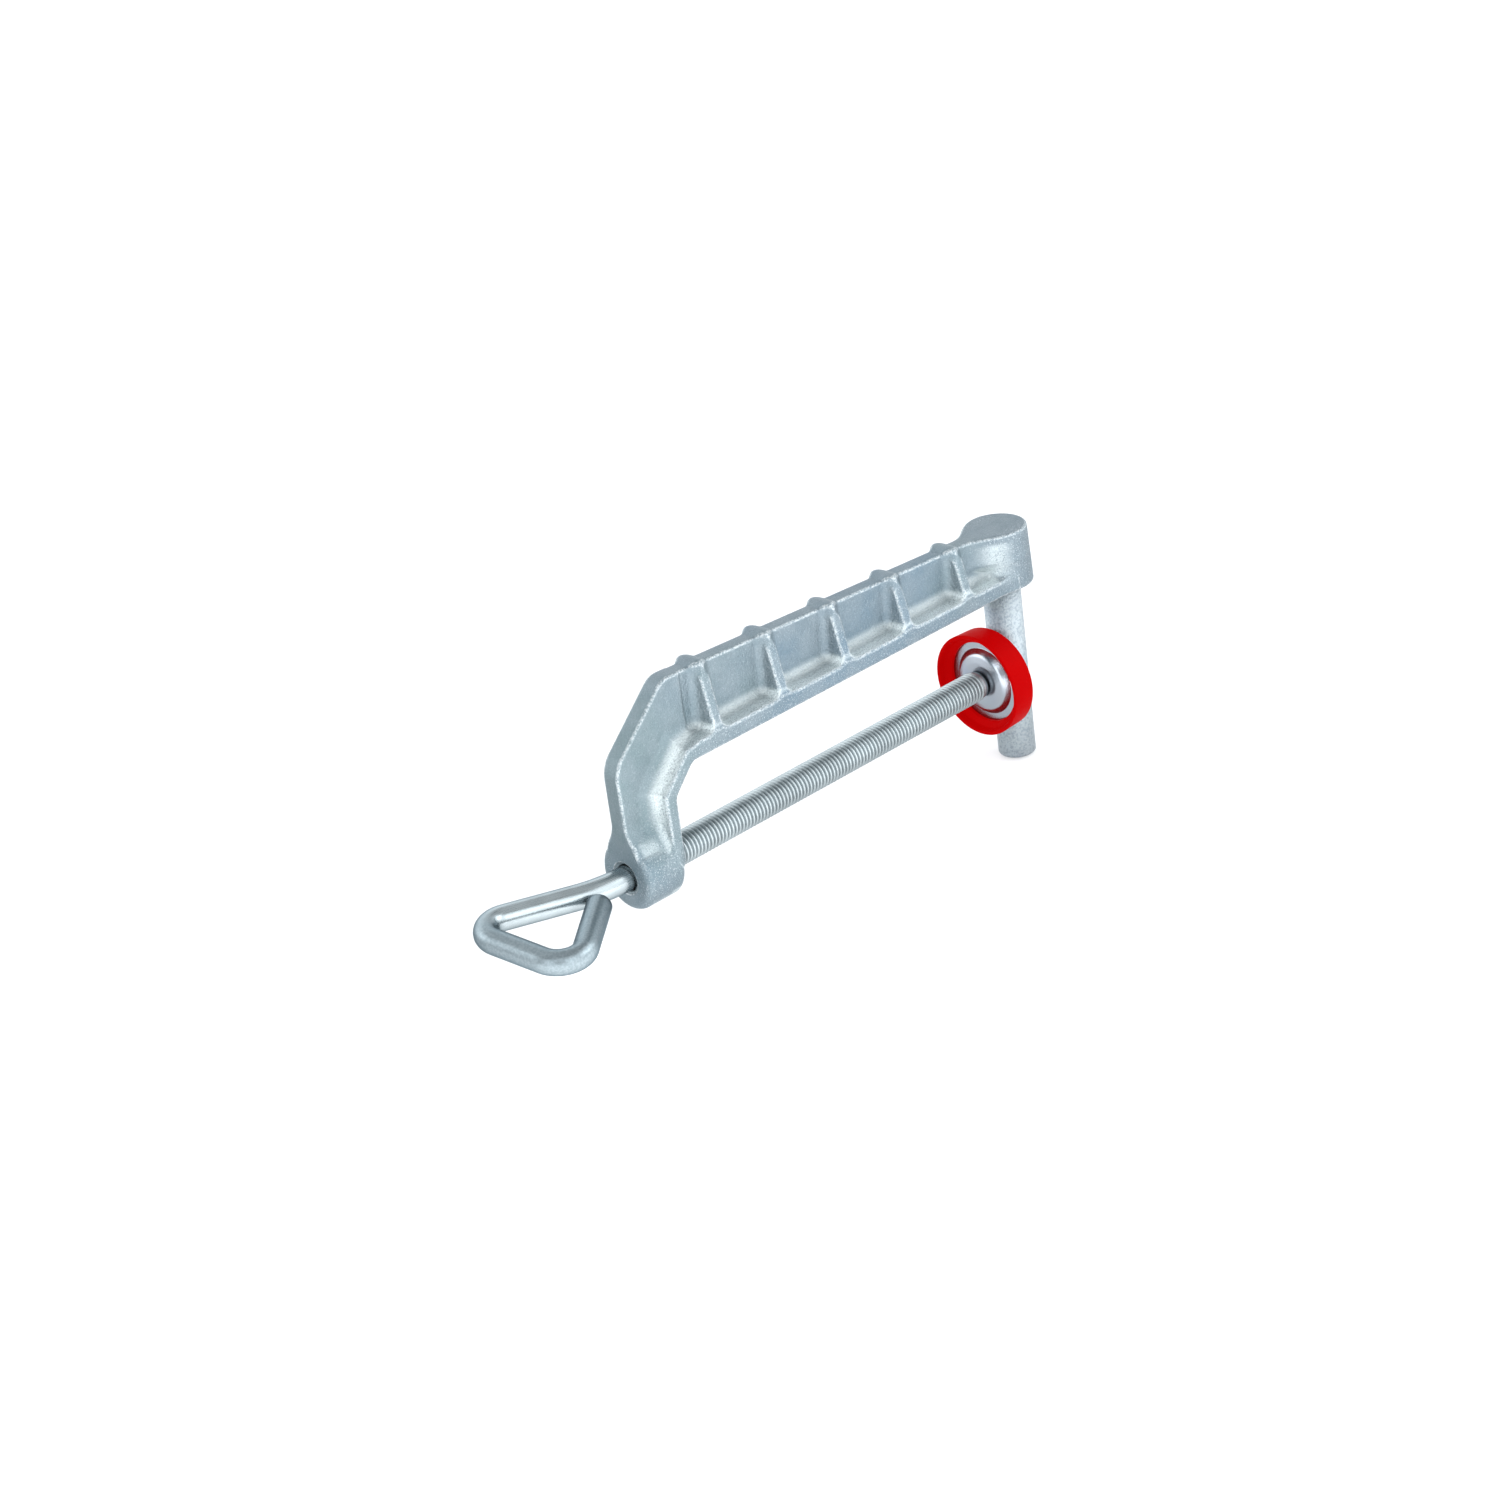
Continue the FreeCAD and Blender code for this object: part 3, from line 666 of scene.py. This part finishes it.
def red_plastic():
    """Soft red moulding with a satin skin. Its glow is painted light: the cap shines of its own and casts red
    light on what is near, in place of the light that scatters inside it.
    """
    nodes = Nodes("red_plastic")
    place = nodes.place()
    cloud = nodes.ramp(nodes.noise(place, 60, 2.0), 0.3, 0.7)
    colour = nodes.blend(cloud, (0.135, 0.0003, 0.0005, 1), (0.155, 0.0004, 0.0006, 1))
    normal = nodes.bump(nodes.noise(place, 1500, 2.0), 0.00005, 0.3)
    rough = nodes.ramp(nodes.noise(place, 300, 2.0), 0.3, 0.7, 0.36, 0.44)
    # Painted glow: the cap gives off red light of its own, which brightens it and the pin beside it.
    nodes.finish(Emission_Color=(0.6, 0.0005, 0.001, 1), Emission_Strength=0.55)
    nodes.finish(Subsurface_Weight=0.08, Subsurface_Radius=(0.004, 0.0004, 0.0005), Subsurface_Scale=0.4)
    nodes.finish(IOR=1.25, Specular_IOR_Level=0.02)
    return nodes.finish(Base_Color=colour, Roughness=rough, Normal=normal)


# ---------------------------------------------------------------- pieces

def make_clamp_arm():
    step = 0.55
    margin = 1.5 * step
    # Share of the hollows' painted light given to the nut's thread in the bore.
    bore_painted_light = 0.4
    points, quads = surface_nets(arm_field, ARM_LOW - margin, ARM_HIGH + margin, step)
    thread, thread_faces = nut_thread()
    rest = np.zeros(len(thread))
    # The fields steer the casting's painted highlights on its edges, in its hollows and on the pockets'
    # floors.
    fields = {"bend": np.concatenate([bend_of(arm_field, points), rest]),
              "hollow_painted_light": np.concatenate([hollow_of(arm_field, points), rest + bore_painted_light]),
              "ledge": np.concatenate([ledge_painted_light_of(points), rest])}
    faces = quads.tolist() + shifted(thread_faces, len(points))
    return make_piece("cast_arm", np.concatenate([points, thread]), faces,
                      "arm", "clamp_arm", cast_zinc(), fields)


def make_locating_pin():
    radius, low, top = PIN_HIGH[0], PIN_LOW[2], PIN_HIGH[2]
    outline = rounded([(low, 0), (low, radius - 0.05, 1.3), (top, radius), (top, 0)], 8)
    points, faces = lathe(outline, "Z", 96)
    steel = plated_steel("pin_steel", (0.335, 0.375, 0.4, 1), 0.4, 0.5, 40, relief=0.0008, mottle=0.5)
    return make_piece("round_pin", points, faces, "arm", "locating_pin", steel)


def make_spindle():
    thread, thread_faces = spindle_thread()
    bar, bar_field, bar_count = bar_rings()
    journal, journal_count = journal_rings()
    roll = math.radians(HANDLE_ROLL)
    c, s = math.cos(roll), math.sin(roll)
    turn = np.array([[1, 0, 0], [0, c, -s], [0, s, c]])
    points = np.concatenate([thread, bar, journal])
    faces = thread_faces + shifted(wrap_faces(bar_count, AROUND), len(thread))
    faces += shifted(wrap_faces(journal_count, AROUND), len(thread) + len(bar))
    fields = {"bar": np.concatenate([thread, bar_field, journal])}
    return make_piece("screw_and_handle", points @ turn.T, faces,
                      "spindle", "spindle", drawn_steel(), fields)


def make_retaining_ring():
    """An open ring of flat section with rounded edges, narrower at its two ends, its gap at the bottom."""
    inner, outer, half_gap, narrow, edge, last = 3.3, RING_HIGH[1], 2.3, 0.55, 0.2, 60
    middle, half = (inner + outer) / 2, (outer - inner) / 2
    mouth = math.asin(half_gap / middle)
    rings = []
    angles = np.linspace(-math.pi / 2 + mouth, 3 * math.pi / 2 - mouth, last + 1)
    for k, angle in enumerate(angles):
        reach = half * (1 if 0 < k < last else narrow)
        section = rounded([(RING_LOW[0], middle - reach, edge), (RING_HIGH[0], middle - reach, edge),
                           (RING_HIGH[0], middle + reach, edge), (RING_LOW[0], middle + reach, edge)], 2)
        rings.append([(x, r * math.cos(angle), r * math.sin(angle)) for x, r in section])
    size = len(rings[0])
    faces = wrap_faces(len(rings), size)
    faces += [tuple(range(size)), tuple(range(last * size, (last + 1) * size))]
    steel = plated_steel("ring_steel", (0.12, 0.12, 0.13, 1), 0.4, 0.5, 60)
    return make_piece("snap_ring", np.concatenate(rings), faces,
                      "carrier", "retaining_ring", steel)


def make_swivel_plate():
    """The pressed plate: hole, dome, steep wall and flange, and back along its inner side."""
    top, face, back, rim = PLATE_LOW[0], -13.8, PLATE_HIGH[0], PLATE_HIGH[1]
    hole, inside = 4.7, top + 1.6
    outline = rounded([
        (top, hole, 0.3), (top, 8.4, 4.0), (top + 1.0, 11.6, 3.0), (face - 0.4, 13.35, 0.5),
        (face, 13.6, 0.5), (face, rim, 0.7), (back, rim, 0.5), (back, 12.9, 0.9),
        (inside + 1.0, 10.6, 2.0), (inside, 8.0, 2.0), (inside, hole, 0.3)], 7)
    points, faces = lathe(outline, "X", 128)
    steel = plated_steel("plate_steel", (0.35, 0.38, 0.42, 1), 0.2, 0.27, 50)
    return make_piece("pressed_plate", points, faces, "foot", "swivel_plate", steel)


def make_protective_cap():
    """The moulded cap: outer wall, thin rim, sloping bowl, lip over the plate, floor and pressing face."""
    front, back, rim = CAP_LOW[0], CAP_HIGH[0], CAP_HIGH[1]
    lip_front, lip_back, lip, pocket = -15.3, -13.9, 16.5, 17.3
    ledge, floor, floor_radius = -12.2, -10.2, 12.0
    outline = rounded([
        (back, 0), (back, rim - 0.5, 1.5), (front, rim, 0.45), (front, rim - 1.35, 0.5),
        (-16.7, 18.8, 1.5), (lip_front, lip, 0.5), (lip_back, lip, 0.2), (lip_back, pocket),
        (ledge, pocket), (ledge, floor_radius), (floor, floor_radius, 0.3), (floor, 0)], 8)
    points, faces = lathe(outline, "X", 160)
    return make_piece("moulded_cap", points, faces, "foot", "protective_cap", red_plastic())


# ---------------------------------------------------------------- studio

def make_camera():
    """The camera stands to the left of the clamp and above it, and leans a little."""
    place = (-0.84709, -0.83220, 0.54958)
    heading, pitch, lean = (math.radians(angle) for angle in (49.58, -25.72, -7.87))
    flat = math.cos(pitch)
    forward = Vector((flat * math.cos(heading), flat * math.sin(heading), math.sin(pitch)))
    level = forward.cross(Vector((0, 0, 1))).normalized()
    right = level * math.cos(lean) + level.cross(forward) * math.sin(lean)
    turn = Matrix((right, right.cross(forward), -forward)).transposed().to_4x4()
    camera = bpy.data.cameras.new("camera")
    camera.lens, camera.sensor_width, camera.clip_start = 79.68, 36, 0.01
    holder = bpy.data.objects.new("camera", camera)
    holder.matrix_world = Matrix.Translation(place) @ turn
    bpy.context.collection.objects.link(holder)
    bpy.context.scene.camera = holder


def make_softbox(name, place, size, power):
    """A rectangular lamp that faces the middle of the clamp."""
    target = (-0.1, 0, 0.0)
    lamp = bpy.data.lights.new(name, "AREA")
    lamp.shape, lamp.size, lamp.size_y = "RECTANGLE", *size
    lamp.energy = power
    holder = bpy.data.objects.new(name, lamp)
    aim = Vector(target) - Vector(place)
    holder.matrix_world = Matrix.Translation(place) @ aim.to_track_quat("-Z", "Y").to_matrix().to_4x4()
    bpy.context.collection.objects.link(holder)


def make_floor():
    """A wide pale floor just under the pin's end, which glows more in front of the clamp."""
    half, level = 8.0, CAD_BOX[0][2] - 0.0005
    towards_front = (-0.35, -0.94, 0)
    corners = [(-half, -half, level), (half, -half, level), (half, half, level), (-half, half, level)]
    mesh = bpy.data.meshes.new("floor")
    mesh.from_pydata(corners, [], [(0, 1, 2, 3)])
    nodes = Nodes("floor_paint")
    front = nodes.add("VectorMath", {0: nodes.place(), 1: towards_front}, operation="DOT_PRODUCT")
    glow = nodes.ramp(front.outputs["Value"], 0.02, 0.18, 0.45, 2.4)
    mesh.materials.append(nodes.finish(Base_Color=(0.45, 0.46, 0.47, 1), Roughness=0.9,
                                       Emission_Color=(1, 1, 1, 1), Emission_Strength=glow))
    floor = bpy.data.objects.new("floor", mesh)
    bpy.context.collection.objects.link(floor)


def make_surroundings():
    """A pale studio, dimmer high up. It is brighter on the camera's side, though dim right behind the
    camera, and brighter to the right of the clamp and at the back."""
    behind_camera = (-0.59, -0.69, 0.42)
    patches = [  # Direction, the two cosines between which the patch fades in, and its brightness.
        (behind_camera, 0.72, 0.86, 2.5),
        (behind_camera, 0.945, 0.975, 0.25),
        ((0.7, -0.7, 0.12), 0.5, 0.85, 2.0),
        ((-0.1, 0.9, 0.4), 0.4, 0.9, 1.95)]
    heights = [  # Sine of the height above the horizon, and the brightness there.
        (0.0, 0.95), (0.25, 1.3), (0.66, 1.25), (0.78, 0.5), (0.84, 0.5), (0.93, 0.95)]

    world = bpy.data.worlds.new("studio")
    bpy.context.scene.world = world
    world.use_nodes = True
    tree = world.node_tree
    sides = tree.nodes.new("ShaderNodeTexCoord")
    split = tree.nodes.new("ShaderNodeSeparateXYZ")
    ramp = tree.nodes.new("ShaderNodeValToRGB")
    tree.links.new(sides.outputs["Generated"], split.inputs[0])
    tree.links.new(split.outputs["Z"], ramp.inputs[0])
    tree.links.new(ramp.outputs["Color"], tree.nodes["Background"].inputs["Color"])
    while len(ramp.color_ramp.elements) < len(heights):
        ramp.color_ramp.elements.new(0.5)
    for element, (place, level) in zip(ramp.color_ramp.elements, heights):
        element.position = place
        element.color = (level * 0.97, level, level * 1.02, 1)

    strength = None
    for towards, low, high, brightness in patches:
        facing = tree.nodes.new("ShaderNodeVectorMath")
        facing.operation = "DOT_PRODUCT"
        facing.inputs[1].default_value = towards
        tree.links.new(sides.outputs["Generated"], facing.inputs[0])
        change = tree.nodes.new("ShaderNodeMapRange")
        for socket, value in zip(change.inputs[1:5], (low, high, 1.0, brightness)):
            socket.default_value = value
        tree.links.new(facing.outputs["Value"], change.inputs[0])
        if strength is None:
            strength = change.outputs[0]
            continue
        both = tree.nodes.new("ShaderNodeMath")
        both.operation = "MULTIPLY"
        tree.links.new(strength, both.inputs[0])
        tree.links.new(change.outputs[0], both.inputs[1])
        strength = both.outputs[0]
    tree.links.new(strength, tree.nodes["Background"].inputs["Strength"])


bpy.context.scene.view_settings.view_transform = "Standard"
make_camera()
make_floor()
make_surroundings()
make_softbox("front_right", (0.75, -0.65, 0.72), (1.0, 0.7), 4.2)
make_softbox("left", (-0.95, 0.8, 0.6), (0.8, 0.6), 1.5)
make_clamp_arm()
make_locating_pin()
make_spindle()
make_retaining_ring()
make_swivel_plate()
make_protective_cap()
